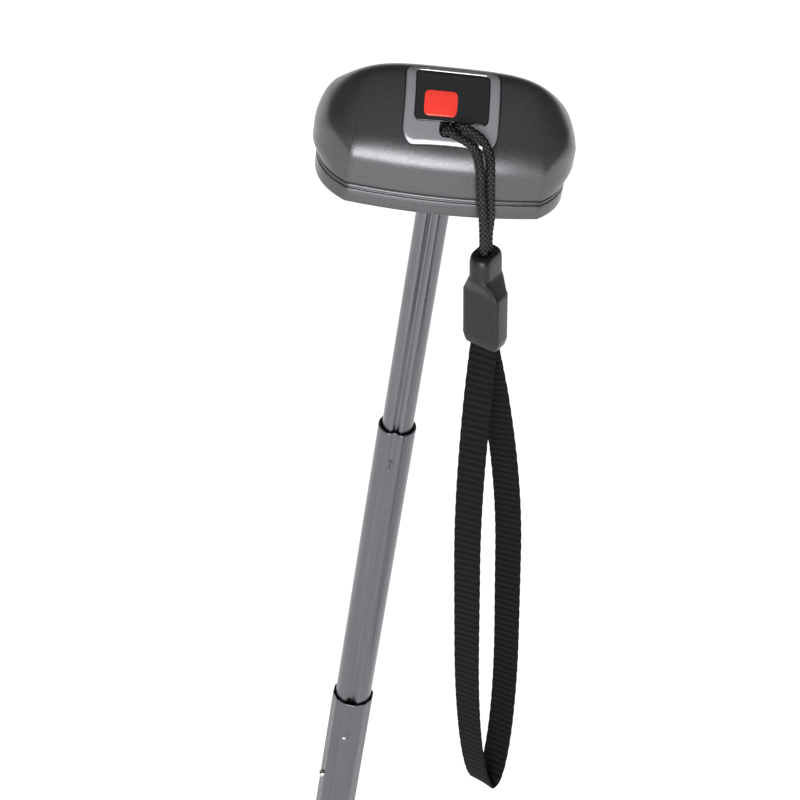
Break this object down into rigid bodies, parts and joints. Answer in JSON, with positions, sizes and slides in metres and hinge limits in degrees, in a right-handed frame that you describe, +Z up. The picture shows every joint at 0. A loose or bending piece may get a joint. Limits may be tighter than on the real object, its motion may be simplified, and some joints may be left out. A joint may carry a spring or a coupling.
{
  "type": "telescopic umbrella grip and shaft",
  "caption": "Oval domed grip with a badge and a corded wrist strap on a fluted telescopic shaft whose tubes slide into each other, with a sprung ball catch.",
  "frame": {"origin": "on the shaft's axis at the flat face of the plug in the outer tube's far end, where the umbrella's crown would fit", "axes": "+Z up the shaft towards the grip, +X along the grip's long side, -Y towards the badge's lower edge and the strap"},
  "size_m": [0.0741, 0.0416, 0.332],
  "materials": {
    "grip_paint": "satin dark grey metallic paint on moulded plastic",
    "tube_metal": "satin grey",
    "badge_silver": "satin silver",
    "panel_black": "gloss",
    "tile_red": "gloss enamel",
    "clip_plastic": "satin moulded",
    "bush_plastic": "matte",
    "bright_steel": "polished nickel",
    "cord_braid": "round braided cord",
    "strap_webbing": "ribbed flat webbing"
  },
  "bodies": {
    "shaft_outer": {"outer_tube": "tube_metal", "crown_end_plug": "bush_plastic", "crown_rivet": "bright_steel", "catch_leaf_spring": "bright_steel"},
    "catch": {"catch_ball": "bright_steel"},
    "shaft_mid": {"mid_tube": "tube_metal", "mid_tube_bush": "bush_plastic"},
    "grip": {"inner_tube": "tube_metal", "inner_tube_bush": "bush_plastic", "grip_upper_shell": "grip_paint", "grip_lower_shell": "grip_paint", "shell_screw_left": "bright_steel", "shell_screw_right": "bright_steel", "tube_socket": "bush_plastic", "tube_cross_pin": "bright_steel", "badge_frame": "badge_silver", "badge_panel": "panel_black", "badge_tile": "tile_red", "strap_anchor_pin": "bright_steel", "strap_cord_top": "cord_braid"},
    "strap": {"strap_cord_left": "cord_braid", "strap_cord_right": "cord_braid", "strap_clip_body": "clip_plastic", "strap_clip_neck": "clip_plastic"},
    "wrist_loop": {"strap_webbing": "strap_webbing"}
  },
  "joints": [
    {"name": "mid_slide", "type": "slide", "parent": "shaft_outer", "child": "shaft_mid", "axis": [0, 0, -1], "range_m": [0, 0.086]},
    {"name": "inner_slide", "type": "slide", "parent": "shaft_mid", "child": "grip", "axis": [0, 0, -1], "range_m": [0, 0.0745]},
    {"name": "catch_press", "type": "slide", "parent": "shaft_outer", "child": "catch", "axis": [-0.9397, -0.342, 0], "range_m": [-0.0009, 0], "stiffness_N_per_m": 1500, "springref_m": 0.0004, "deforming": ["catch_leaf_spring"]},
    {"name": "strap_swing", "type": "hinge", "parent": "grip", "child": "strap", "pos_m": [0.0084, -0.0183, 0.3165], "axis": [-1, 0, 0], "range_deg": [0, 110], "deforming": ["strap_cord_left", "strap_cord_right"]},
    {"name": "loop_swing", "type": "hinge", "parent": "strap", "child": "wrist_loop", "pos_m": [0.0151, -0.0191, 0.2716], "axis": [-1, 0, 0], "range_deg": [-20, 40], "deforming": ["strap_webbing"]}
  ]
}
